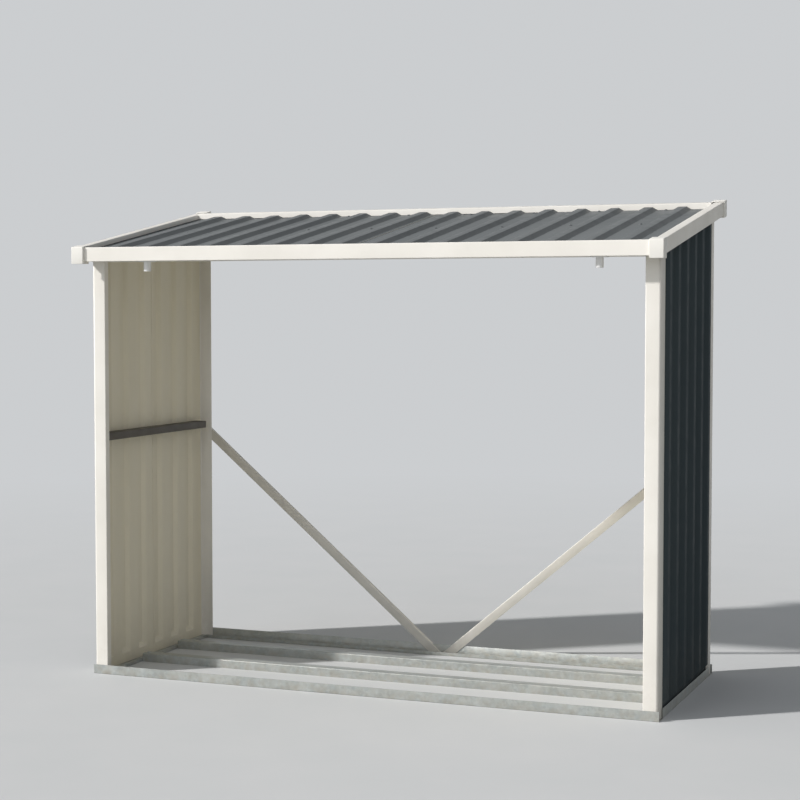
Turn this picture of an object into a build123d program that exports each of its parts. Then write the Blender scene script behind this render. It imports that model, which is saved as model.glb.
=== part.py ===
from build123d import *
import math
import os

# Log store: a folded steel frame, open at the front and the back, under a single-pitch roof.
# X runs along the store, Y from front to back and Z up. The origin is on the ground, in the
# middle of the overall length and depth. All sizes are in millimetres.

os.makedirs("parts", exist_ok=True)

# Overall frame, measured over the outer faces of the corner posts
frame_width = 1890.0
frame_depth = 742.0

# Roof: how far the corner caps stand out past the posts, and how the roof rises to the back
front_overhang = 84.0
rear_overhang = 63.0
side_overhang = 27.0
eaves_height = 1401.0
roof_angle = 10.12

# Stock and fits
profile_wall = 1.5
sheet_wall = 1.0
bend_radius = 2.5
fit = 0.3

# Corner posts
post_face = 46.0
front_post_side = 54.0
rear_post_side = 72.0
post_return = 22.0
post_corner_radius = 8.0

# Base ring and floor rails
base_height = 30.0
base_proud = 4.2
base_floor = 50.0
base_lip = 12.0
floor_rail_width = 40.0
floor_rail_height = 28.0

# Pressed sheets
rib_height = 12.0
rib_top = 28.0
rib_run = 14.0
roof_edge_pan = 90.5
roof_rib_count = 16
roof_sheet_count = 4
wall_rib_count = 6
front_wall_rib_count = 4
sheet_lap = 10.0
wall_sheet_inset = 10.0
wall_rib_start = 4.0

# Rails under the roof and on the walls
rail_height = 40.0
rail_depth = 38.0
purlin_width = 40.0
mid_rail_height = 25.0
mid_rail_bottom = 770.0
mid_rail_set_back = 44.0

# Trims round the roof, as they stand beside each other under the corner caps
cap_proud = 3.0
trim_set_back = 3.0
trim_height = 45.0
trim_width = 31.0
pan_drop = 16.0
rib_end_gap = 1.0
rear_trim_width = 82.0
rear_trim_web = 20.0
rear_trim_drop = 6.5
gutter_set_back = 9.0
gutter_lip = 12.0
gutter_upstand = 10.0
gutter_back_height = 26.0
sheet_set_back = 30.0
cap_width = 43.0
cap_depth = 38.0
cap_height = 54.0
cap_cover = 8.0
cap_edge_radius = 2.0

# Outlets under the gutter
outlet_diameter = 23.0
outlet_drop = 33.0
outlet_flange_diameter = 56.0
outlet_flange_height = 2.5
outlet_left_inset = 226.5
outlet_right_inset = 172.3

# Braces behind the rear posts
brace_width = 30.0
brace_lip = 12.0
brace_height = 742.0
brace_foot_x = 26.0
brace_lap = 35.0

# Places that follow from the sizes above
overall_depth = front_overhang + frame_depth + rear_overhang
y_front_cap = -overall_depth / 2
y_front = y_front_cap + front_overhang
y_rear = y_front + frame_depth
y_rear_cap = y_rear + rear_overhang
y_middle = (y_front + y_rear) / 2
x_post = frame_width / 2
x_post_inner = x_post - post_face
x_cap = x_post + side_overhang
x_trim = x_cap - trim_set_back
x_trim_inner = x_trim - trim_width
x_base = x_post + base_proud
x_base_inner = x_base - base_floor
roof_rise = math.tan(math.radians(roof_angle))
roof_cos = math.cos(math.radians(roof_angle))
nesting = sheet_wall + fit
rib_foot = rib_top + 2 * rib_run
lap_reach = rib_foot / 2 + sheet_lap
rib_taper = math.degrees(math.atan(rib_run / rib_height))
y_gutter = y_front_cap + gutter_set_back
y_rear_trim = y_rear_cap - trim_set_back

# Upright depths under the roof line, which runs along the tops of the corner caps
pan_depth = cap_proud + pan_drop
seat_depth = pan_depth + (sheet_wall + nesting + fit) / roof_cos


def roof_line(y):
    """Height of the tops of the corner caps at depth y."""
    return eaves_height + roof_rise * (y - y_front_cap)


def along_slope(y_start, y_end):
    """Length up the slope between two depths."""
    return (y_end - y_start) / roof_cos


def roof_plane(depth):
    """Plane parallel with the roof, straight below the roof line by depth."""
    slope = math.radians(roof_angle)
    return Plane(
        origin=(0, y_front_cap, eaves_height - depth),
        x_dir=(1, 0, 0),
        z_dir=(0, -math.sin(slope), math.cos(slope)),
    )


def cross_plane(y):
    """Upright plane across the store at depth y, with its origin on the roof line."""
    return Plane(origin=(0, y, roof_line(y)), x_dir=(1, 0, 0), z_dir=(0, -1, 0))


up_slope = (0, math.cos(math.radians(roof_angle)), math.sin(math.radians(roof_angle)))
seat_plane = roof_plane(seat_depth)


def folded(points, side):
    """Section of a strip folded along its outer line, with its thickness on one side."""
    with BuildSketch() as section:
        with BuildLine():
            FilletPolyline(*points, radius=bend_radius)
            offset(amount=profile_wall, side=side)
        make_face()
    return section.sketch


def twin(piece, plane):
    """The matching piece on the other side of a plane."""
    with BuildPart() as other:
        mirror(piece.part, about=plane)
    return other


def save(piece, name):
    """Name a finished piece and write it to its own file."""
    piece.part.label = name
    export_step(piece.part, f"parts/{name}.step")


middle_plane = Plane.XZ.offset(-y_middle)

# Base ring: the front rail is an open channel whose inner lip stops beside the posts
y_base = y_front - base_proud
y_base_inner = y_base + base_floor
x_base_lip = x_post_inner - fit
with BuildPart() as base_front_rail:
    with BuildSketch(Plane.YZ):
        rail_line = [(y_base, base_height), (y_base, 0), (y_base_inner, 0), (y_base_inner, base_lip)]
        add(folded(rail_line, Side.LEFT))
    extrude(amount=x_base_lip)
    with BuildSketch(Plane.YZ.offset(x_base_lip)):
        add(folded(rail_line[:3], Side.LEFT))
    extrude(amount=x_base - x_base_lip)
    mirror(about=Plane.YZ)
save(base_front_rail, "base_front_rail")
save(twin(base_front_rail, middle_plane), "base_rear_rail")

# Side rails of the base, between the front and the rear rail
side_rail_start = y_base_inner + fit
side_rail_length = 2 * (y_middle - side_rail_start)
with BuildPart() as base_right_rail:
    with BuildSketch(Plane.XZ.offset(-side_rail_start)):
        rail_line = [(x_base, base_height), (x_base, 0), (x_base_inner, 0), (x_base_inner, base_lip)]
        add(folded(rail_line, Side.RIGHT))
    extrude(amount=-side_rail_length)
save(base_right_rail, "base_right_rail")
save(twin(base_right_rail, Plane.YZ), "base_left_rail")

# Floor rails from side to side, at one and two thirds of the depth
floor_rail_y = {"front": y_front + frame_depth / 3, "rear": y_front + 2 * frame_depth / 3}
for place, y in floor_rail_y.items():
    with BuildPart() as floor_rail:
        with BuildSketch(Plane.YZ):
            y_low = y - floor_rail_width / 2
            y_high = y + floor_rail_width / 2
            rail_line = [(y_low, 0), (y_low, floor_rail_height), (y_high, floor_rail_height), (y_high, 0)]
            add(folded(rail_line, Side.RIGHT))
        extrude(amount=x_base_inner - fit, both=True)
    save(floor_rail, f"base_middle_rail_{place}")


def corner_post(y_face, inward, side_depth, has_return):
    """Right-hand post, folded from one strip: the face, a round corner and the side, and for
    some posts a return along the face's inner edge.

    inward is +1 where the store lies behind the post's face and -1 where it lies before it.
    """
    post_line = [(x_post_inner, y_face), (x_post, y_face), (x_post, y_face + inward * side_depth)]
    radii = [post_corner_radius]
    if has_return:
        post_line.insert(0, (x_post_inner, y_face + inward * post_return))
        radii.insert(0, bend_radius)
    with BuildPart() as post:
        with BuildSketch(Plane.XY.offset(profile_wall)):
            with BuildLine():
                FilletPolyline(*post_line, radius=radii)
                offset(amount=profile_wall, side=Side.LEFT if inward > 0 else Side.RIGHT)
            make_face()
        extrude(amount=roof_line(y_rear_cap))
        split(bisect_by=seat_plane, keep=Keep.BOTTOM)
    return post


post_front_right = corner_post(y_front, 1, front_post_side, True)
save(post_front_right, "post_front_right")
save(twin(post_front_right, Plane.YZ), "post_front_left")
post_rear_right = corner_post(y_rear, -1, rear_post_side, False)
save(post_rear_right, "post_rear_right")
save(twin(post_rear_right, Plane.YZ), "post_rear_left")


def ribbed_sheet(plane, length_start, length_end, cross_start, cross_end, centres, rib_start, rib_end):
    """Flat sheet with pressed ribs along the plane's y. Each rib stands out of the sheet, is
    closed by tapered ends, and is hollow underneath."""

    def strip(start, end, low, high):
        """Rectangle from start to end along the sheet and from low to high across it."""
        with Locations(((low + high) / 2, (start + end) / 2)):
            Rectangle(high - low, end - start)

    with BuildPart() as sheet:
        with BuildSketch(plane):
            strip(length_start, length_end, cross_start, cross_end)
        extrude(amount=-sheet_wall)
        for centre in centres:
            with BuildSketch(plane):
                strip(rib_start, rib_end, centre - rib_foot / 2, centre + rib_foot / 2)
            extrude(amount=rib_height, taper=rib_taper)
        for centre in centres:
            with BuildSketch(plane.offset(-sheet_wall)):
                strip(rib_start, rib_end, centre - rib_foot / 2, centre + rib_foot / 2)
            extrude(amount=rib_height, taper=rib_taper, mode=Mode.SUBTRACT)
    return sheet


# Walls: two sheets at each end of the store. The ribs stand outwards between the posts'
# sides, and the two sheets share one rib, where the front sheet lies over the rear one.
first_wall_rib = y_front + front_post_side + fit + rib_foot / 2
last_wall_rib = y_rear - rear_post_side - fit - rib_foot / 2
wall_rib_pitch = (last_wall_rib - first_wall_rib) / (wall_rib_count - 1)
wall_ribs = [first_wall_rib + wall_rib_pitch * i for i in range(wall_rib_count)]
wall_seam = wall_ribs[front_wall_rib_count - 1]
wall_face = x_post - profile_wall - fit
wall_bottom = profile_wall + fit
wall_top_plane = roof_plane(seat_depth + fit)
wall_sheets = {
    "front": (
        wall_face,
        y_front + wall_sheet_inset,
        wall_seam + lap_reach,
        wall_ribs[:front_wall_rib_count],
    ),
    "rear": (
        wall_face - nesting,
        wall_seam - lap_reach,
        y_rear - wall_sheet_inset,
        wall_ribs[front_wall_rib_count - 1 :],
    ),
}
for place, (face, y_start, y_end, ribs) in wall_sheets.items():
    tall_sheet = ribbed_sheet(
        Plane.YZ.offset(face),
        wall_bottom,
        roof_line(y_rear_cap),
        y_start,
        y_end,
        ribs,
        base_height + wall_rib_start,
        roof_line(y_rear_cap) + rib_foot,
    )
    with BuildPart() as wall_sheet:
        add(tall_sheet.part)
        split(bisect_by=wall_top_plane, keep=Keep.BOTTOM)
    save(wall_sheet, f"wall_right_{place}_sheet")
    save(twin(wall_sheet, Plane.YZ), f"wall_left_{place}_sheet")

# Mid rails: channels on the inside of the walls, with their webs in line with the posts. They
# stop short of the rear posts' faces.
x_rail_outer = wall_face - nesting - sheet_wall - fit
mid_rail_start = y_front + post_return + fit
mid_rail_end = y_rear - mid_rail_set_back
with BuildPart() as mid_rail_right:
    with BuildSketch(Plane.XZ.offset(-mid_rail_start)):
        low = mid_rail_bottom
        high = mid_rail_bottom + mid_rail_height
        rail_line = [(x_rail_outer, low), (x_post_inner, low), (x_post_inner, high), (x_rail_outer, high)]
        add(folded(rail_line, Side.RIGHT))
    extrude(amount=-(mid_rail_end - mid_rail_start))
save(mid_rail_right, "mid_rail_right")
save(twin(mid_rail_right, Plane.YZ), "mid_rail_left")

# Top rails: channels that carry the roof over the walls, inside the folds of the posts
x_top_rail_inner = x_post_inner + profile_wall + fit
top_rail_start = y_front + post_corner_radius + fit
top_rail_end = y_rear - post_corner_radius - fit
with BuildPart() as top_rail_right:
    with BuildSketch(cross_plane(top_rail_start)):
        high = -seat_depth
        low = high - rail_height
        rail_line = [(x_rail_outer, low), (x_top_rail_inner, low), (x_top_rail_inner, high), (x_rail_outer, high)]
        add(folded(rail_line, Side.RIGHT))
    extrude(amount=along_slope(top_rail_start, top_rail_end), dir=up_slope)
save(top_rail_right, "top_rail_right")
save(twin(top_rail_right, Plane.YZ), "top_rail_left")


def cross_rail(y_web, y_open, half_length):
    """Channel from side to side under the roof. Its web is upright, its upper flange slopes
    with the roof and its open side faces y_open."""
    foot = roof_line(y_web) - seat_depth - rail_height
    with BuildPart() as rail:
        with BuildSketch(Plane.YZ):
            rail_line = [
                (y_open, foot),
                (y_web, foot),
                (y_web, roof_line(y_web) - seat_depth),
                (y_open, roof_line(y_open) - seat_depth),
            ]
            add(folded(rail_line, Side.RIGHT if y_open > y_web else Side.LEFT))
        extrude(amount=half_length, both=True)
    return rail


save(cross_rail(y_front, y_front + rail_depth, x_post_inner - fit), "header_front")
save(cross_rail(y_rear, y_rear - rail_depth, x_post_inner - fit), "header_rear")
purlin_start = y_middle - purlin_width / 2
save(cross_rail(purlin_start, purlin_start + purlin_width, x_top_rail_inner - fit), "roof_purlin")

# Roof: the sheets lie side by side and share a rib at each seam. The second and the fourth
# sheet lie over their neighbours there.
x_roof_edge = x_trim - 2 * profile_wall
x_last_rib = x_roof_edge - roof_edge_pan - rib_foot / 2
roof_rib_pitch = 2 * x_last_rib / (roof_rib_count - 1)
roof_ribs = [roof_rib_pitch * i - x_last_rib for i in range(roof_rib_count)]
ribs_a_sheet = roof_rib_count // roof_sheet_count
y_sheet_front = y_gutter + sheet_set_back
y_sheet_rear = y_rear_trim - 2 * profile_wall
y_trim_inner = y_rear_trim - rear_trim_width
y_rib_rear = y_trim_inner - rib_end_gap
for number in range(1, roof_sheet_count + 1):
    first = ribs_a_sheet * (number - 1)
    last = ribs_a_sheet * number
    ribs = roof_ribs[max(first - 1, 0) : last]
    left_edge = -x_roof_edge if number == 1 else ribs[0] - lap_reach
    right_edge = x_roof_edge if number == roof_sheet_count else ribs[-1] + lap_reach
    lowered = nesting if number % 2 else 0
    roof_sheet = ribbed_sheet(
        roof_plane(pan_depth).offset(-lowered),
        along_slope(y_front_cap, y_sheet_front),
        along_slope(y_front_cap, y_sheet_rear),
        left_edge,
        right_edge,
        ribs,
        along_slope(y_front_cap, y_sheet_front),
        along_slope(y_front_cap, y_rib_rear),
    )
    save(roof_sheet, f"roof_sheet_{number}")

# Front trim: a folded strip with a lip along its top, which the roof sheets end behind
gutter_bottom = roof_line(y_gutter) - cap_proud - trim_height
x_gutter = x_trim_inner - fit
with BuildPart() as gutter_front:
    with BuildSketch(Plane.YZ):
        gutter_top = roof_line(y_gutter) - cap_proud
        trim_line = [(y_gutter + gutter_lip, gutter_top), (y_gutter, gutter_top), (y_gutter, gutter_bottom)]
        add(folded(trim_line, Side.LEFT))
    extrude(amount=x_gutter, both=True)
save(gutter_front, "gutter_front")

# Gutter: a channel from the inside of the front trim back to the posts, open at the top,
# with a hole in its floor over each outlet
y_channel = y_gutter + profile_wall + fit
gutter_back = y_front - fit
outlet_y = (y_channel + gutter_back) / 2
outlets = {"left": outlet_left_inset - x_post, "right": x_post - outlet_right_inset}
outlet_radius = outlet_diameter / 2
outlet_bore_radius = outlet_radius - profile_wall
with BuildPart() as gutter_channel:
    with BuildSketch(Plane.YZ):
        channel_line = [
            (y_channel, gutter_bottom + gutter_upstand),
            (y_channel, gutter_bottom),
            (gutter_back, gutter_bottom),
            (gutter_back, gutter_bottom + gutter_back_height),
        ]
        add(folded(channel_line, Side.LEFT))
    extrude(amount=x_gutter, both=True)
    with BuildSketch(Plane.XY.offset(gutter_bottom)):
        with Locations([(x, outlet_y) for x in outlets.values()]):
            Circle(outlet_bore_radius)
    extrude(amount=profile_wall, mode=Mode.SUBTRACT)
save(gutter_channel, "gutter_channel")

# Outlets: short round spouts with a flange under the gutter's floor
for side, x in outlets.items():
    with BuildPart() as outlet:
        with BuildSketch(Plane.XY.offset(gutter_bottom)):
            with Locations((x, outlet_y)):
                Circle(outlet_radius)
        extrude(amount=-outlet_drop)
        with BuildSketch(Plane.XY.offset(gutter_bottom)):
            with Locations((x, outlet_y)):
                Circle(outlet_flange_diameter / 2)
        extrude(amount=-outlet_flange_height)
        with BuildSketch(Plane.XY.offset(gutter_bottom)):
            with Locations((x, outlet_y)):
                Circle(outlet_bore_radius)
        extrude(amount=-outlet_drop, mode=Mode.SUBTRACT)
    save(outlet, f"gutter_outlet_{side}")

# Side trims: covers along the roof's ends, from cap to cap
trim_start = y_front_cap + cap_depth - cap_cover
trim_end = y_rear_cap - cap_depth + cap_cover
with BuildPart() as roof_trim_right:
    with BuildSketch(cross_plane(trim_start)):
        trim_line = [
            (x_trim_inner, fit - pan_depth),
            (x_trim_inner, -cap_proud),
            (x_trim, -cap_proud),
            (x_trim, -cap_proud - trim_height),
        ]
        add(folded(trim_line, Side.RIGHT))
    extrude(amount=along_slope(trim_start, trim_end), dir=up_slope)
save(roof_trim_right, "roof_trim_right")
save(twin(roof_trim_right, Plane.YZ), "roof_trim_left")

# Rear trim: a wider and flatter cover along the back of the roof, between the side trims. The
# roof's ribs end in front of its web.
rear_pan = roof_line(y_trim_inner) - pan_depth
with BuildPart() as roof_trim_rear:
    with BuildSketch(Plane.YZ):
        trim_line = [
            (y_trim_inner, rear_pan + fit),
            (y_trim_inner, rear_pan + rear_trim_web),
            (y_rear_trim, roof_line(y_rear_trim) - rear_trim_drop),
            (y_rear_trim, roof_line(y_rear_trim) - cap_proud - trim_height),
        ]
        add(folded(trim_line, Side.RIGHT))
    extrude(amount=x_gutter, both=True)
save(roof_trim_rear, "roof_trim_rear")


def corner_cap(y_outer, inward, trim_face, cap_foot, slot_foot):
    """Right-hand cap: a thin shell over a corner of the roof, with slots where the side trim
    and the front or rear trim run in. inward is +1 at the front and -1 at the back. cap_foot
    and slot_foot give the heights of the cap's and the slots' lower edges at any depth."""
    y_inner = y_outer + inward * cap_depth
    x_inner = x_cap - cap_width

    def outline(y_one, y_two, below_top, foot, above_foot=0.0):
        """Upright face from front to back between the cap's sloped top and its foot."""
        with BuildSketch() as face:
            Polygon(
                (y_one, foot(y_one) + above_foot),
                (y_two, foot(y_two) + above_foot),
                (y_two, roof_line(y_two) - below_top),
                (y_one, roof_line(y_one) - below_top),
                align=None,
            )
        return face.sketch

    y_outer_wall = y_outer + inward * profile_wall
    y_inner_wall = y_inner - inward * profile_wall
    with BuildPart() as cap:
        with BuildSketch(Plane.YZ.offset(x_inner)):
            add(outline(y_outer, y_inner, 0, cap_foot))
        extrude(amount=cap_width)
        rim_edges = cap.faces().sort_by(Axis.Z)[-1].edges()
        corner_edges = cap.edges().filter_by(Axis.Z)
        fillet(rim_edges + corner_edges, radius=cap_edge_radius)
        with BuildSketch(Plane.YZ.offset(x_inner + profile_wall)):
            add(outline(y_outer_wall, y_inner_wall, profile_wall, cap_foot, profile_wall))
        extrude(amount=cap_width - 2 * profile_wall, mode=Mode.SUBTRACT)
        with BuildSketch(Plane.YZ.offset(x_inner)):
            add(outline(trim_face - inward * fit, y_inner, profile_wall, slot_foot))
        extrude(amount=profile_wall, mode=Mode.SUBTRACT)
        with BuildSketch(Plane.YZ.offset(x_inner)):
            add(outline(y_inner_wall, y_inner, profile_wall, slot_foot))
        extrude(amount=x_trim + fit - x_inner, mode=Mode.SUBTRACT)
    return cap


def front_cap_foot(y):
    """Lower edge of a front cap, level like the gutter that runs into it."""
    return eaves_height - cap_height


def front_slot_foot(y):
    """Lower edge of a front cap's slots, just under the gutter's floor."""
    return gutter_bottom - fit


def rear_cap_foot(y):
    """Lower edge of a rear cap, parallel with the side trim and below it."""
    return roof_line(y) - cap_height


def rear_slot_foot(y):
    """Lower edge of a rear cap's slots, just under the sloped trims."""
    return roof_line(y) - cap_proud - trim_height - 2 * fit


cap_front_right = corner_cap(y_front_cap, 1, y_gutter, front_cap_foot, front_slot_foot)
save(cap_front_right, "cap_front_right")
save(twin(cap_front_right, Plane.YZ), "cap_front_left")
cap_rear_right = corner_cap(y_rear_cap, -1, y_rear_trim, rear_cap_foot, rear_slot_foot)
save(cap_rear_right, "cap_rear_right")
save(twin(cap_rear_right, Plane.YZ), "cap_rear_left")

# Braces: folded angles behind the rear posts, from mid height down into the rear base rail.
# The lip along the upper edge stops above that rail.
brace_foot = profile_wall + fit
brace_slope = math.atan2(brace_height - brace_foot, x_post_inner - brace_foot_x)
brace_plane = Plane(
    origin=(x_post_inner, y_rear + fit, brace_height),
    x_dir=(0, 1, 0),
    z_dir=(math.cos(brace_slope), 0, math.sin(brace_slope)),
)
with BuildPart() as rear_brace_right:
    with BuildSketch(brace_plane):
        brace_line = [(0, -brace_width / 2), (0, brace_width / 2), (brace_lip, brace_width / 2)]
        add(folded(brace_line, Side.RIGHT))
    extrude(amount=x_post / math.cos(brace_slope), both=True)
    split(bisect_by=Plane.YZ.offset(x_post_inner + brace_lap), keep=Keep.BOTTOM)
    split(bisect_by=Plane.XY.offset(brace_foot), keep=Keep.TOP)
    with BuildSketch(Plane.XY.offset(base_height + fit)):
        with Locations((0, y_rear + fit + profile_wall + brace_lip / 2)):
            Rectangle(2 * x_post, brace_lip)
    extrude(amount=-base_height, mode=Mode.SUBTRACT)
save(rear_brace_right, "rear_brace_right")
save(twin(rear_brace_right, Plane.YZ), "rear_brace_left")

print(f"overall width {2 * x_cap:.0f}, depth {overall_depth:.0f}, height {roof_line(y_rear_cap):.0f} mm")
print(f"wall rib pitch {wall_rib_pitch:.1f} mm, gutter bottom at {gutter_bottom:.0f} mm")
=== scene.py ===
# %% [markdown]
# # A folded steel log store
# The CAD frame already holds every rail, post, sheet and cap of this log store at its true size.
# What Blender adds is what a photograph shows and a solid doesn't: how the folds catch the
# light, the coatings on the steel, the screws, and the soil that rain splashes up.
#
# The frame is loaded first and its box is written down, so that the finished model's box at the
# end can be set beside it.

# %% Load the frame
import math

import bmesh
import bpy
from mathutils import Matrix, Vector
from mathutils.bvhtree import BVHTree


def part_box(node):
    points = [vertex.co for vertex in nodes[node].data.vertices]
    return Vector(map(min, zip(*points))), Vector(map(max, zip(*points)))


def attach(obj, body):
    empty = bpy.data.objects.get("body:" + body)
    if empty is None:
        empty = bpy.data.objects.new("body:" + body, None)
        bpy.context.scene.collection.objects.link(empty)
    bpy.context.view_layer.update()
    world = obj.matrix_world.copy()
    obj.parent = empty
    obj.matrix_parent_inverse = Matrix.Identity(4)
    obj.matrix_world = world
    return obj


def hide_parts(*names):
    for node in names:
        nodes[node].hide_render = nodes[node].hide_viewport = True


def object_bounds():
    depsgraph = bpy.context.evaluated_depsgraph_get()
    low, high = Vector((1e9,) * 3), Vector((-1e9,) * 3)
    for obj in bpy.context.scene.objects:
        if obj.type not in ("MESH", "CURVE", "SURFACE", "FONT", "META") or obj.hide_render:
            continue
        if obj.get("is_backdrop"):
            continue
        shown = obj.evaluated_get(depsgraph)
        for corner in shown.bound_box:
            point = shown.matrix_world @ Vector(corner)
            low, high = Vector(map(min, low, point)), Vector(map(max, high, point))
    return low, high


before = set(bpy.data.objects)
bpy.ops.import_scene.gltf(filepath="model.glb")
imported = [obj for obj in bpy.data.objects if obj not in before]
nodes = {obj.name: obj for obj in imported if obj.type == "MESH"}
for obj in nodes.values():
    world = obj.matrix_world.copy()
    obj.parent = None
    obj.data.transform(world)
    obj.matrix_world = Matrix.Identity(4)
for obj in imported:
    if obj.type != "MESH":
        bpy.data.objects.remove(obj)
cad_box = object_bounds()
scene = bpy.context.scene
box_corners = [[round(v, 3) for v in corner] for corner in cad_box]
print(f"{len(nodes)} nodes, box {box_corners[0]} to {box_corners[1]}")

# %% [markdown]
# ## The camera
# The photograph was taken from in front of the store and a good way to its right, at chest
# height, with a long lens. A long lens keeps the uprights parallel and makes the roof look
# very shallow. The place, turn and lens below were fitted to corners of the posts and the roof.

# %% Camera
photo_width = 800
focal_pixels = 1784.0
camera_place = (2.1446, -5.4191, 1.208)
look_left = math.radians(21.65)
look_down = math.radians(2.985)
camera_data = bpy.data.cameras.new("photo_camera")
camera_data.sensor_width = 36.0
camera_data.lens = camera_data.sensor_width * focal_pixels / photo_width
camera = bpy.data.objects.new("photo_camera", camera_data)
camera.location = camera_place
camera.rotation_euler = (math.pi / 2 - look_down, 0.0, look_left)
scene.collection.objects.link(camera)
scene.camera = camera
print(f"lens {camera_data.lens:.1f} mm, {camera.location.length:.2f} m from the store's middle")

# %% [markdown]
# ## The light
# The real store stands in afternoon sun from the front left, which leaves its right-hand wall
# and its inside in shade. Even light from all sides would hide that, so a soft sun lamp gives
# the direction. The world fills the shade like a wide soft box in front of the store, in a
# dimmer room. Together they add up to about one on a surface that faces the viewer, and the
# Standard view changes nothing afterwards, so a colour renders about as it is written.

# %% Sun
sun_strength = 3.4
sun_softness = math.radians(2.5)
sun_way = (0.671, 0.516, -0.532)
sun_data = bpy.data.lights.new("key_sun", "SUN")
sun_data.energy = sun_strength
sun_data.angle = sun_softness
sun_data.color = (1.0, 0.975, 0.94)
sun = bpy.data.objects.new("key_sun", sun_data)
sun.rotation_euler = Vector(sun_way).to_track_quat("-Z", "Y").to_euler()
scene.collection.objects.link(sun)
scene.view_settings.view_transform = "Standard"
print(f"sun {sun_strength}, shining along {sun_way}")

# %% [markdown]
# ## Small tools for node trees
# The world and every coating are built from the same few nodes, so each of these is written
# once, as a function that takes a socket and returns the next one. A recipe then reads from the
# inside out, as a formula does.


# %% Node helpers
def new_node(tree, kind, **settings):
    """Adds a node and sets its own properties."""
    node = tree.nodes.new(kind)
    for key, value in settings.items():
        setattr(node, key, value)
    return node


def ranged(tree, value, low, high, low_result=0.0, high_result=1.0):
    """Turns the stretch low to high into low_result to high_result, or else zero to one."""
    node = new_node(tree, "ShaderNodeMapRange")
    for name, number in (
        ("From Min", low),
        ("From Max", high),
        ("To Min", low_result),
        ("To Max", high_result),
    ):
        node.inputs[name].default_value = number
    tree.links.new(value, node.inputs["Value"])
    return node.outputs["Result"]


def worked_out(tree, operation, one, other):
    """Result of a sum with two values. The other one is a plain number or a node's output."""
    node = new_node(tree, "ShaderNodeMath", operation=operation)
    tree.links.new(one, node.inputs[0])
    if isinstance(other, float):
        node.inputs[1].default_value = other
    else:
        tree.links.new(other, node.inputs[1])
    return node.outputs[0]


print("node helpers ready")

# %% [markdown]
# ## A soft box in a room
# How bright the world is depends only on the direction: its dot product with the soft box's
# direction is one in the middle of the box and minus one right behind the store. Raising that
# to a power keeps the bright part to the front. Area lamps could do the same, but a world has no
# edges that show in a coating, and it needs no placing.

# %% Soft box and room
soft_box_side = (-0.30, -0.95, 0.0)
box_strength = 1.0
room_strength = 0.20
box_focus = 3.0
world = bpy.data.worlds.new("studio")
scene.world = world
world.use_nodes = True
sky = world.node_tree
sky_light = sky.nodes["Background"]
sky_light.inputs["Color"].default_value = (0.95, 0.98, 1.0, 1.0)
sky_way = new_node(sky, "ShaderNodeTexCoord").outputs["Generated"]
towards_box = new_node(sky, "ShaderNodeVectorMath", operation="DOT_PRODUCT")
towards_box.inputs[1].default_value = Vector(soft_box_side).normalized()
sky.links.new(sky_way, towards_box.inputs[0])
box_share = ranged(sky, towards_box.outputs["Value"], -1.0, 1.0)
box_edge = worked_out(sky, "POWER", box_share, box_focus)
box_level = ranged(sky, box_edge, 0.0, 1.0, room_strength, box_strength)
sky.links.new(box_level, sky_light.inputs["Strength"])
print(f"soft box {box_strength}, room {room_strength}")

# %% [markdown]
# The background itself has to be pale without adding light, so the world shows a second,
# plain colour to the rays that look at it directly or in a mirror. High up it turns dark, as a
# studio's ceiling does, so that the roof's ribs mirror something to stand out against.

# %% What the camera sees behind the store
backdrop_grey = (0.60, 0.615, 0.63)
ceiling_starts = 0.3
ceiling_reached = 0.6
ceiling_strength = 0.25


def seen_directly(tree):
    """One where a ray comes from the camera, a reflection or glass, otherwise zero."""
    path = new_node(tree, "ShaderNodeLightPath")
    total = path.outputs["Is Camera Ray"]
    for kind in ("Is Glossy Ray", "Is Transmission Ray"):
        total = worked_out(tree, "MAXIMUM", total, path.outputs[kind])
    return total


sky_height = new_node(sky, "ShaderNodeSeparateXYZ")
sky.links.new(sky_way, sky_height.inputs[0])
dim_ceiling = ranged(
    sky, sky_height.outputs["Z"], ceiling_starts, ceiling_reached, 1.0, ceiling_strength
)
sky_seen = new_node(sky, "ShaderNodeBackground")
sky_seen.inputs["Color"].default_value = (*backdrop_grey, 1.0)
sky.links.new(dim_ceiling, sky_seen.inputs["Strength"])
sky_mix = new_node(sky, "ShaderNodeMixShader")
sky.links.new(seen_directly(sky), sky_mix.inputs[0])
sky.links.new(sky_light.outputs[0], sky_mix.inputs[1])
sky.links.new(sky_seen.outputs[0], sky_mix.inputs[2])
sky.links.new(sky_mix.outputs[0], sky.nodes["World Output"].inputs["Surface"])
print("background colour", backdrop_grey)

# %% [markdown]
# ## Small tools for the coatings
# The coated steel and the plastic are made in one way: a clean colour, a second colour that
# comes through in soft clouds, and a fine bump. The patterns read Object coordinates, which are
# metres in the store's own frame, so a cloud has a real size and runs on from one piece to the
# next.


# %% Patterns that follow the store
def new_coating(name):
    """New material with its node tree and its main shader."""
    material = bpy.data.materials.new(name)
    material.use_nodes = True
    return material, material.node_tree, material.node_tree.nodes["Principled BSDF"]


def store_place(tree):
    """Place on the store, in metres."""
    return new_node(tree, "ShaderNodeTexCoord").outputs["Object"]


def height_above_ground(tree):
    """Height in metres on the store."""
    parts = new_node(tree, "ShaderNodeSeparateXYZ")
    tree.links.new(store_place(tree), parts.inputs[0])
    return parts.outputs["Z"]


def clouds(tree, scale, detail, run=(1.0, 1.0, 1.0)):
    """Soft random pattern, about 1/scale metres wide. A small run makes it long on that axis."""
    mapping = new_node(tree, "ShaderNodeMapping")
    mapping.inputs["Scale"].default_value = run
    pattern = new_node(tree, "ShaderNodeTexNoise")
    pattern.inputs["Scale"].default_value = scale
    pattern.inputs["Detail"].default_value = detail
    tree.links.new(store_place(tree), mapping.inputs["Vector"])
    tree.links.new(mapping.outputs["Vector"], pattern.inputs["Vector"])
    return pattern.outputs["Fac"]


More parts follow.
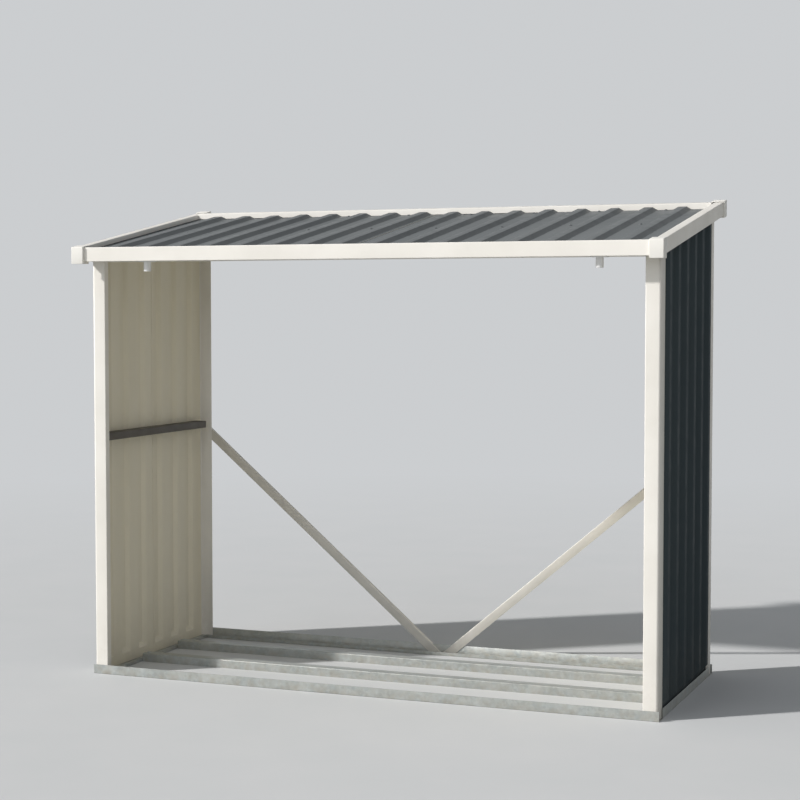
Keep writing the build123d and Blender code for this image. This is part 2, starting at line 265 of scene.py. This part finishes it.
print("pattern helpers ready")


# %% Colours and bumps
def tinted(tree, amount, under, over):
    """Colour that goes from under to over by amount. Each is a colour or another node."""
    node = new_node(tree, "ShaderNodeMix", data_type="RGBA")
    tree.links.new(amount, node.inputs["Factor"])
    for name, colour in (("A", under), ("B", over)):
        socket = [s for s in node.inputs if s.name == name and s.type == "RGBA"][0]
        if isinstance(colour, tuple):
            socket.default_value = (*colour, 1.0)
        else:
            tree.links.new(colour, socket)
    return [s for s in node.outputs if s.type == "RGBA"][0]


def bumped(tree, heights, strength, deep):
    """Bump node whose dents are up to deep metres."""
    node = new_node(tree, "ShaderNodeBump")
    node.inputs["Strength"].default_value = strength
    node.inputs["Distance"].default_value = deep
    tree.links.new(heights, node.inputs["Height"])
    return node


print("colour and bump helpers ready")

# %% [markdown]
# ## Coated steel
# Most of the store is thin steel with a baked coating. Up close that coating has a faint orange
# peel, thin sheet is never quite flat, and rain splashes soil on to the lowest hand's breadth.
# One function makes all of the coatings, so the pale frame and the dark sheets age alike, and
# each colour is given only once.

# %% Soil that splashes up
soil_colour = (0.36, 0.31, 0.24)
splash_height = 0.22
soil_higher_up = 0.02
blotch_scale = 34.0
grit_scale = 160.0


def splashes(tree, soil):
    """Share of soil on the coating: blotches and grit, most of it near the ground."""
    low_down = ranged(tree, height_above_ground(tree), 0.0, splash_height, soil, soil_higher_up)
    blotches = ranged(tree, clouds(tree, blotch_scale, detail=8.0), 0.3, 0.65, 0.25, 1.0)
    grit = ranged(tree, clouds(tree, grit_scale, detail=3.0), 0.45, 0.75, 0.75, 1.0)
    return worked_out(tree, "MULTIPLY", worked_out(tree, "MULTIPLY", low_down, blotches), grit)


print(f"soil reaches {1000 * splash_height:.0f} mm up")

# %% Skin of a coated sheet
wave_scale = 7.0
wave_strength = 0.15
wave_depth = 0.02
peel_scale = 520.0
peel_strength = 0.12
peel_depth = 0.0006


def sheet_skin(tree):
    """Slow waves of thin sheet, with the coating's orange peel on top of them."""
    waves = bumped(tree, clouds(tree, wave_scale, detail=1.0), wave_strength, wave_depth)
    peel = bumped(tree, clouds(tree, peel_scale, detail=2.0), peel_strength, peel_depth)
    tree.links.new(waves.outputs["Normal"], peel.inputs["Normal"])
    return peel.outputs["Normal"]


print(f"waves {1000 / wave_scale:.0f} mm wide, orange peel {1000 / peel_scale:.1f} mm")

# %% One recipe for coated steel
fading_scale = 5.0
gloss_scale = 22.0
glossier_by = 0.06
duller_by = 0.08


def coated_steel(name, clean, faded, roughness, soil=0.2, sheen=0.5, run=(1.0, 1.0, 1.0)):
    """Baked coating with clouds of a faded colour, soil splashes and the skin of thin sheet. A
    small number in run makes the clouds long on that axis, the way that rain runs."""
    material, tree, shader = new_coating(name)
    fading = ranged(tree, clouds(tree, fading_scale, detail=6.0, run=run), 0.35, 0.7)
    colour = tinted(tree, splashes(tree, soil), tinted(tree, fading, clean, faded), soil_colour)
    shine = clouds(tree, gloss_scale, detail=4.0)
    gloss = ranged(tree, shine, 0.3, 0.7, roughness - glossier_by, roughness + duller_by)
    tree.links.new(colour, shader.inputs["Base Color"])
    tree.links.new(gloss, shader.inputs["Roughness"])
    tree.links.new(sheet_skin(tree), shader.inputs["Normal"])
    shader.inputs["Specular IOR Level"].default_value = sheen
    return material


print(f"fading in clouds about {1000 / fading_scale:.0f} mm wide")

# %% [markdown]
# Five coatings come from the recipe. The roof fades in streaks down its slope and the walls in
# upright streaks, the way that rain runs. The dark sheets have little sheen: seen at a low angle,
# a glossy roof would mirror the background and lose the contrast between its ribs and pans.
# The roof's coat is painted lighter than the walls' coat, though both are one sheet: that is a
# painted sheen, the light that a real roof's pans mirror at a low angle.

# %% The five coatings
rain_run = (1.0, 1.0, 0.12)
roof_run = (1.0, 0.15, 1.0)
pale_coat = coated_steel("pale_coat", (0.83, 0.805, 0.765), (0.77, 0.745, 0.70), 0.42)
# Lighter than the walls' coat on the same sheet: the roof's colour holds a painted sheen.
roof_coat_painted_sheen = coated_steel(
    "roof_coat_painted_sheen", (0.140, 0.152, 0.160), (0.157, 0.169, 0.176), 0.42, sheen=0.06, run=roof_run
)
wall_coat = coated_steel(
    "wall_coat",
    (0.050, 0.066, 0.076),
    (0.060, 0.077, 0.087),
    0.50,
    soil=0.12,
    sheen=0.02,
    run=rain_run,
)
inner_coat = coated_steel(
    "inner_coat", (0.82, 0.77, 0.645), (0.77, 0.72, 0.59), 0.50, soil=0.12, run=rain_run
)
rail_coat = coated_steel("rail_coat", (0.050, 0.042, 0.030), (0.075, 0.064, 0.048), 0.50)
coatings = (pale_coat, roof_coat_painted_sheen, wall_coat, inner_coat, rail_coat)
print("coatings:", ", ".join(m.name for m in coatings))

# %% [markdown]
# ## Galvanised steel
# The base ring isn't coated but dipped in zinc, which freezes in patches called spangle. A
# Voronoi pattern gives each patch its own shade and gloss, which soft clouds could not do. The
# zinc has gone dull, so it is only partly metallic.

# %% Zinc
zinc_dark = (0.40, 0.43, 0.43)
zinc_light = (0.50, 0.53, 0.52)
zinc_bloom = (0.58, 0.59, 0.57)
spangle_scale = 110.0
bloom_scale = 16.0
zinc_blotch_scale = 45.0
zinc_soil_height = 0.04
metal_share = 0.55


def galvanised_steel(name):
    """Dull zinc with its spangle, soiled at the foot."""
    material, tree, shader = new_coating(name)
    spangle = new_node(tree, "ShaderNodeTexVoronoi")
    spangle.inputs["Scale"].default_value = spangle_scale
    tree.links.new(store_place(tree), spangle.inputs["Vector"])
    patch = new_node(tree, "ShaderNodeSeparateXYZ")
    tree.links.new(spangle.outputs["Color"], patch.inputs[0])
    shade = patch.outputs["X"]
    bloom = ranged(tree, clouds(tree, bloom_scale, detail=6.0), 0.4, 0.7, 0.0, 0.6)
    colour = tinted(tree, shade, zinc_dark, zinc_light)
    colour = tinted(tree, bloom, colour, zinc_bloom)
    low_down = ranged(tree, height_above_ground(tree), 0.0, zinc_soil_height, 0.55, 0.1)
    blotches = ranged(tree, clouds(tree, zinc_blotch_scale, detail=6.0), 0.35, 0.7)
    colour = tinted(tree, worked_out(tree, "MULTIPLY", low_down, blotches), colour, soil_colour)
    tree.links.new(colour, shader.inputs["Base Color"])
    tree.links.new(ranged(tree, shade, 0.0, 1.0, 0.38, 0.55), shader.inputs["Roughness"])
    shader.inputs["Metallic"].default_value = metal_share
    return material


zinc = galvanised_steel("zinc")
print(f"zinc spangle about {1000 / spangle_scale:.0f} mm across")

# %% [markdown]
# ## Moulded plastic
# The corner caps and the two outlets are plastic mouldings. They are a little whiter and softer
# than the coated steel, with the fine even grain of the mould instead of orange peel. A recipe
# of their own is simpler than one that has to be steel and plastic at once.

# %% Plastic
ageing_scale = 14.0
plastic_gloss_scale = 60.0
mould_grain_scale = 900.0
mould_grain_strength = 0.2
mould_grain_depth = 0.0004


def moulded_plastic(name, clean, aged):
    """Satin moulding with a fine mould grain and a slight yellowing in clouds."""
    material, tree, shader = new_coating(name)
    ageing = ranged(tree, clouds(tree, ageing_scale, detail=4.0), 0.35, 0.7)
    tree.links.new(tinted(tree, ageing, clean, aged), shader.inputs["Base Color"])
    gloss = ranged(tree, clouds(tree, plastic_gloss_scale, detail=3.0), 0.3, 0.7, 0.42, 0.54)
    tree.links.new(gloss, shader.inputs["Roughness"])
    grains = clouds(tree, mould_grain_scale, detail=2.0)
    grain = bumped(tree, grains, mould_grain_strength, mould_grain_depth)
    tree.links.new(grain.outputs["Normal"], shader.inputs["Normal"])
    return material


cap_plastic = moulded_plastic("cap_plastic", (0.86, 0.845, 0.815), (0.81, 0.79, 0.745))
outlet_plastic = moulded_plastic("outlet_plastic", (0.84, 0.845, 0.86), (0.79, 0.79, 0.80))
print("plastics:", cap_plastic.name, outlet_plastic.name)

# %% [markdown]
# ## From a CAD node to a finished piece
# A CAD node arrives as loose triangles with hard edges. The piece could be drawn anew, but its
# shape is right already, so a copy is finished instead and the node's own mesh is never changed.
# The copy is merged, its flat triangles are joined into whole faces, the chosen edges are rounded
# with a bevel, and it is shaded smooth everywhere except at real corners.

# %% Copying a node
same_place = 1e-5
flat_enough = math.radians(0.5)


def merged_copy(name):
    """Copy of a CAD node's mesh with its triangles joined into flat faces."""
    work = bmesh.new()
    work.from_mesh(nodes[name].data)
    bmesh.ops.remove_doubles(work, verts=work.verts, dist=same_place)
    bmesh.ops.dissolve_limit(
        work, angle_limit=flat_enough, verts=work.verts, edges=work.edges, delimit={"NORMAL"}
    )
    return work


print("copies are merged within", same_place, "m")


# %% Rounding edges
def edges_folded(work, least, most):
    """Edges whose two faces meet at an angle between least and most degrees."""
    low = math.radians(least)
    high = math.radians(most)
    return [e for e in work.edges if e.is_manifold and low < e.calc_face_angle(0.0) < high]


def round_edges(work, edges, radius, segments):
    """Rounds edges off."""
    bmesh.ops.bevel(
        work,
        geom=edges,
        offset=radius,
        offset_type="OFFSET",
        segments=segments,
        profile=0.5,
        affect="EDGES",
        material=-1,
        clamp_overlap=True,
    )


print("edge helpers ready")


# %% Making a piece
def make_piece(work, name, materials, smooth=35.0, stands_for=()):
    """Turns a bmesh into an object that rides on the store and stands for CAD nodes."""
    mesh = bpy.data.meshes.new(name)
    work.to_mesh(mesh)
    work.free()
    mesh.shade_smooth()
    mesh.set_sharp_from_angle(angle=math.radians(smooth))
    for material in materials:
        mesh.materials.append(material)
    piece = bpy.data.objects.new(name, mesh)
    scene.collection.objects.link(piece)
    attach(piece, "root")
    if stands_for:
        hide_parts(*stands_for)
    return piece


print("pieces ride on the body root")

# %% [markdown]
# ## Closing plates
# Two kinds of small plate are added to the copies further on: tabs that close the rear trim's
# ends, and lips over the trim in the rear caps. Each could be a cut box, but one upright face,
# extruded to the sheet's thickness, follows the two sloping lines below exactly.

# %% Helpers for the closing plates
eaves_height = 1.401
half_depth = 0.4445
roof_slope = math.tan(math.radians(10.12))
trim_over_line = 0.001


def roof_line(y):
    """Height of the roof's own line at a depth, which the caps' tops follow."""
    return eaves_height + roof_slope * (y + half_depth)


rear_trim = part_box("roof_trim_rear")
rear_trim_front = roof_line(rear_trim[0].y) + trim_over_line


def rear_trim_top(y):
    """Height of the rear trim's top at a depth. The trim is flatter than the roof."""
    low, high = rear_trim
    return rear_trim_front + (high.z - rear_trim_front) * (y - low.y) / (high.y - low.y)


def add_plate(work, profile, x_from, x_to):
    """Upright plate through (y, z) points at x_from, extruded to x_to."""
    corners = [work.verts.new((x_from, y, z)) for y, z in profile]
    grown = bmesh.ops.extrude_face_region(work, geom=[work.faces.new(corners)])["geom"]
    moved = [g for g in grown if isinstance(g, bmesh.types.BMVert)]
    bmesh.ops.translate(work, verts=moved, vec=(x_to - x_from, 0.0, 0.0))
    plate_faces = {f for v in moved + corners for f in v.link_faces}
    bmesh.ops.recalc_face_normals(work, faces=list(plate_faces))


print(f"roof rises {roof_line(half_depth) - roof_line(-half_depth):.3f} m over its depth")

# %% Tabs at the rear trim's ends
tab_wall = 0.0012
tab_inset = 0.0002
tab_under_top = 0.0003
tab_over_sheet = 0.0005
pan_depth = 0.019


def add_end_tab(work, side):
    """Closes an end of the rear trim, from its top to the sheet. side is -1 left, +1 right."""
    low, high = rear_trim
    near = low.y + tab_inset
    far = high.y - tab_inset
    profile = [
        (near, roof_line(near) - pan_depth + tab_over_sheet),
        (far, roof_line(far) - pan_depth + tab_over_sheet),
        (far, rear_trim_top(far) - tab_under_top),
        (near, rear_trim_top(near) - tab_under_top),
    ]
    add_plate(work, profile, side * (high.x - tab_wall), side * high.x)


print(f"end tabs {1000 * tab_wall:.1f} mm thick")

# %% [markdown]
# ## Folded frame pieces
# Posts, rails, trims and braces are folded on a press brake. Their bends are already round in
# the CAD, so smooth shading brings those out, and a bevel of a third of a millimetre takes the
# sharpness off the cut edges, as the coating does on real steel. A Bevel modifier would round
# every bend a second time, so the edges are chosen by their angle instead.

# %% Finish the folded pieces
cut_edge = 0.00035
pale_starts = (
    "post_",
    "top_rail_",
    "header_",
    "roof_trim_",
    "roof_purlin",
    "rear_brace_",
    "gutter_front",
    "gutter_channel",
)
folded_kinds = (
    ("pale_frame", pale_coat, pale_starts),
    ("galvanised_rail", zinc, ("base_",)),
    ("dark_rail", rail_coat, ("mid_rail_",)),
)
for slot_name, coating, starts in folded_kinds:
    names = [n for n in nodes if n.startswith(starts)]
    for name in names:
        work = merged_copy(name)
        round_edges(work, edges_folded(work, least=60.0, most=120.0), cut_edge, segments=1)
        if name == "roof_trim_rear":
            add_end_tab(work, -1)
            add_end_tab(work, 1)
        make_piece(work, f"{name}_finished", [coating], stands_for=[name])
    print(f"{slot_name}: {len(names)} folded pieces")

# %% [markdown]
# ## Ribbed sheets
# The walls and the roof are one kind of sheet, rolled so that each rib has two slopes and a
# flat top. A roller can't make a sharp fold, so the ribs' edges are rounded, and those rounded
# edges are what draws the fine light lines along a real wall. A bump map could fake the ribs on
# a flat wall, but not their outline at the roof's edge. The sheet is dark outside and has a plain
# pale coat inside, so each face gets its coat by the way that it faces.

# %% Finish the sheets
fold_radius = 0.0022
sheet_smooth = 50.0


def ribbed_sheet(name, outwards, outer_coat):
    """Finished sheet with round folds, its dark coat outside and the pale one inside."""
    work = merged_copy(name)
    round_edges(work, edges_folded(work, least=15.0, most=75.0), fold_radius, segments=3)
    outside = Vector(outwards)
    for face in work.faces:
        face.material_index = 0 if face.normal.dot(outside) > 0.1 else 1
    coats = [outer_coat, inner_coat]
    piece = make_piece(work, f"{name}_finished", coats, sheet_smooth, [name])
    print(f"{name}: {len(piece.data.polygons)} faces")


for side, outwards in (("left", (-1, 0, 0)), ("right", (1, 0, 0))):
    for place in ("front", "rear"):
        ribbed_sheet(f"wall_{side}_{place}_sheet", outwards, wall_coat)
roof_sheets = sorted(n for n in nodes if n.startswith("roof_sheet_"))
for name in roof_sheets:
    ribbed_sheet(name, (0, 0, 1), roof_coat_painted_sheen)

# %% [markdown]
# ## Caps and outlets
# A moulding has no sharp edges at all, or it would stick in its mould. The caps' outer edges
# are round in the CAD already. The copy rounds what is left, the rims and the slots. The rear
# trim is flatter than the roof, so a wedge of each rear cap's slot stays open above it. A thin
# lip closes it.

# %% Lip over the rear trim
lip_wall = 0.0015
lip_gap = 0.0003
lip_under_top = 0.001
rear_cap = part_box("cap_rear_right")


def add_lip(work, side):
    """Closes the wedge between the rear trim and a rear cap's top. side is -1 left, +1 right."""
    near = rear_cap[0].y + lip_gap
    far = rear_trim[1].y - lip_gap
    profile = [
        (near, rear_trim_top(near) + lip_gap),
        (far, rear_trim_top(far) + lip_gap),
        (far, roof_line(far) - lip_under_top),
        (near, roof_line(near) - lip_under_top),
    ]
    add_plate(work, profile, side * rear_cap[0].x, side * (rear_cap[0].x + lip_wall))


lip_height = roof_line(rear_cap[0].y) - rear_trim_top(rear_cap[0].y)
print(f"lip {1000 * lip_height:.1f} mm high at its front")

# %% Finish the mouldings
rim_radius = 0.0005
moulding_smooth = 40.0
for name in sorted(n for n in nodes if n.startswith(("cap_", "gutter_outlet_"))):
    plastic = cap_plastic if name.startswith("cap_") else outlet_plastic
    work = merged_copy(name)
    round_edges(work, edges_folded(work, least=60.0, most=120.0), rim_radius, segments=2)
    if name.startswith("cap_rear_"):
        add_lip(work, -1 if name.endswith("left") else 1)
    piece = make_piece(
        work, f"{name}_finished", [plastic], moulding_smooth, [name]
    )
    print(f"{name}: {len(piece.data.polygons)} faces")

# %% [markdown]
# ## Screws
# Sheets like these are held by self-drilling screws: a six-sided head pressed on to a wide
# washer, both in the sheet's own colour. They sit in the pans, over the rails. Each head starts
# as two cones, one round and one six-sided. Their heights could be worked out from the roof's
# slope, but a ray cast on to the CAD surface finds the place and the slope of any seat, so no
# head floats or sinks.


# %% Finding a seat
def surface_of(names):
    """Search tree over the surfaces of some CAD nodes."""
    points = []
    faces = []
    for name in names:
        first = len(points)
        mesh = nodes[name].data
        points.extend(v.co.copy() for v in mesh.vertices)
        faces.extend([first + i for i in polygon.vertices] for polygon in mesh.polygons)
    return BVHTree.FromPolygons(points, faces)


print("rays find the seats")

# %% One screw
washer_sides = 20
washer_bottom = -0.0003
washer_top = 0.0010
head_sides = 6
head_share = 0.58
head_bottom = 0.0008
head_top = 0.0032
upper_share = 0.9


def add_screw(work, surface, start, way, washer_width):
    """Washer and head where a line from start along way meets the surface."""
    spot, normal, _, _ = surface.ray_cast(Vector(start), Vector(way))
    seat = Matrix.Translation(spot) @ normal.to_track_quat("Z", "Y").to_matrix().to_4x4()
    for sides, width, low, high in (
        (washer_sides, washer_width, washer_bottom, washer_top),
        (head_sides, washer_width * head_share, head_bottom, head_top),
    ):
        bmesh.ops.create_cone(
            work,
            cap_ends=True,
            segments=sides,
            radius1=width / 2,
            radius2=width / 2 * upper_share,
            depth=high - low,
            matrix=seat @ Matrix.Translation((0.0, 0.0, (low + high) / 2)),
        )


print(f"screw heads {1000 * head_top:.1f} mm high")

# %% A set of screws
screw_edge = 0.00025


def screw_set(name, surface, starts, way, washer_width, material):
    """One piece with all the screws of a row or a side."""
    work = bmesh.new()
    for start in starts:
        add_screw(work, surface, start, way, washer_width)
    round_edges(work, edges_folded(work, least=70.0, most=120.0), screw_edge, segments=1)
    make_piece(work, name, [material])
    print(f"{name}: {len(starts)} screws")


print(f"their edges are rounded by {1000 * screw_edge:.2f} mm")

# %% Roof screws
roof_washer = 0.014
rib_pitch = 0.113
first_pan = -0.791
rail_rows = (-0.3415, 0.0105, 0.351)
down = (0.0, 0.0, -1.0)
over_roof = 2.0
pans = [first_pan + 2 * rib_pitch * i for i in range(8)]
above = [(x, y, over_roof) for y in rail_rows for x in pans]
screw_set(
    "roof_screws", surface_of(roof_sheets), above, down, roof_washer, roof_coat_painted_sheen
)

# %% Wall screws
wall_washer = 0.013
mid_rail_middle = 0.7825
under_trim = 0.055
off_wall = 1.5
first_wall_pan = -0.2223
wall_rib_pitch = 0.1119
wall_pans = [first_wall_pan + wall_rib_pitch * i for i in range(5)]
beside = [(y, mid_rail_middle) for y in wall_pans]
beside += [(y, roof_line(y) - under_trim) for y in wall_pans]
for side, sign in (("left", -1.0), ("right", 1.0)):
    wall = surface_of([f"wall_{side}_front_sheet", f"wall_{side}_rear_sheet"])
    starts = [(sign * off_wall, y, z) for y, z in beside]
    inwards = (-sign, 0.0, 0.0)
    screw_set(
        f"wall_{side}_screws", wall, starts, inwards, wall_washer, wall_coat
    )

# %% [markdown]
# The base rails and the braces are bolted. These heads are zinc, low and a little wider. One
# holds each end of each side rail and floor rail from above. Each brace is held from behind,
# through itself at the post and through the rear rail at its foot.

# %% Base bolts
bolt_washer = 0.016
over_base = 0.5
floor_rail_ends = [(x, y) for x in (-0.885, 0.885) for y in (-0.1132, 0.1342)]
side_rail_ends = [(x, y) for x in (-0.88, 0.88) for y in (-0.340, 0.361)]
base_ring = surface_of([n for n in nodes if n.startswith("base_")])
over_ends = [(x, y, over_base) for x, y in floor_rail_ends + side_rail_ends]
screw_set("base_bolts", base_ring, over_ends, down, bolt_washer, zinc)

# %% Brace bolts
brace_at_post = (0.915, 0.7556)
brace_at_foot = (0.044, 0.0155)
behind_store = 0.6
braced = surface_of(["rear_brace_left", "rear_brace_right", "base_rear_rail"])
behind = [
    (sign * x, behind_store, z) for sign in (-1.0, 1.0) for x, z in (brace_at_post, brace_at_foot)
]
forwards = (0.0, -1.0, 0.0)
screw_set("brace_bolts", braced, behind, forwards, bolt_washer, zinc)

# %% [markdown]
# ## The stage
# The store stands on a wide pale floor that keeps its shadow. Far from the store the floor
# turns into the background's own colour, so that no horizon cuts across the picture. To rays
# that bring light back to the store it is darker, or its bounce would wash out the shade.

# %% Floor
floor_reach = 40.0
work = bmesh.new()
bmesh.ops.create_grid(work, x_segments=8, y_segments=8, size=floor_reach)
floor_mesh = bpy.data.meshes.new("studio_floor")
work.to_mesh(floor_mesh)
work.free()
floor = bpy.data.objects.new("studio_floor", floor_mesh)
scene.collection.objects.link(floor)
floor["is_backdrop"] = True
print(f"floor {2 * floor_reach:.0f} m across")

# %% Floor paint
floor_fleck = (0.62, 0.63, 0.645)
floor_bounce = (0.42, 0.42, 0.39)
floor_grain_scale = 3.0
fade_starts = 2.0
fade_ends = 7.0
floor_paint, tree, shader = new_coating("floor_paint")
grain = ranged(tree, clouds(tree, floor_grain_scale, detail=4.0), 0.3, 0.7)
pale_floor = tinted(tree, grain, backdrop_grey, floor_fleck)
floor_colour = tinted(tree, seen_directly(tree), floor_bounce, pale_floor)
tree.links.new(floor_colour, shader.inputs["Base Color"])
shader.inputs["Roughness"].default_value = 0.9
shader.inputs["Specular IOR Level"].default_value = 0.1
distance = new_node(tree, "ShaderNodeVectorMath", operation="LENGTH")
tree.links.new(store_place(tree), distance.inputs[0])
far_off = ranged(tree, distance.outputs["Value"], fade_starts, fade_ends)
glow = new_node(tree, "ShaderNodeEmission")
glow.inputs["Color"].default_value = (*backdrop_grey, 1.0)
fade = new_node(tree, "ShaderNodeMixShader")
tree.links.new(worked_out(tree, "MULTIPLY", far_off, seen_directly(tree)), fade.inputs[0])
tree.links.new(shader.outputs[0], fade.inputs[1])
tree.links.new(glow.outputs[0], fade.inputs[2])
tree.links.new(fade.outputs[0], tree.nodes["Material Output"].inputs["Surface"])
floor_mesh.materials.append(floor_paint)
print(f"floor fades out between {fade_starts} and {fade_ends} m")

# %% [markdown]
# ## Measure and finish
# The finished model has to keep the CAD's size. Its box is written down here, axis by axis, to
# set beside the CAD's box from the start.

# %% Write the sizes
dressed_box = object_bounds()
for axis, low, high in zip("XYZ", dressed_box[0], dressed_box[1]):
    print(f"{axis}: {low:.4f} to {high:.4f}")
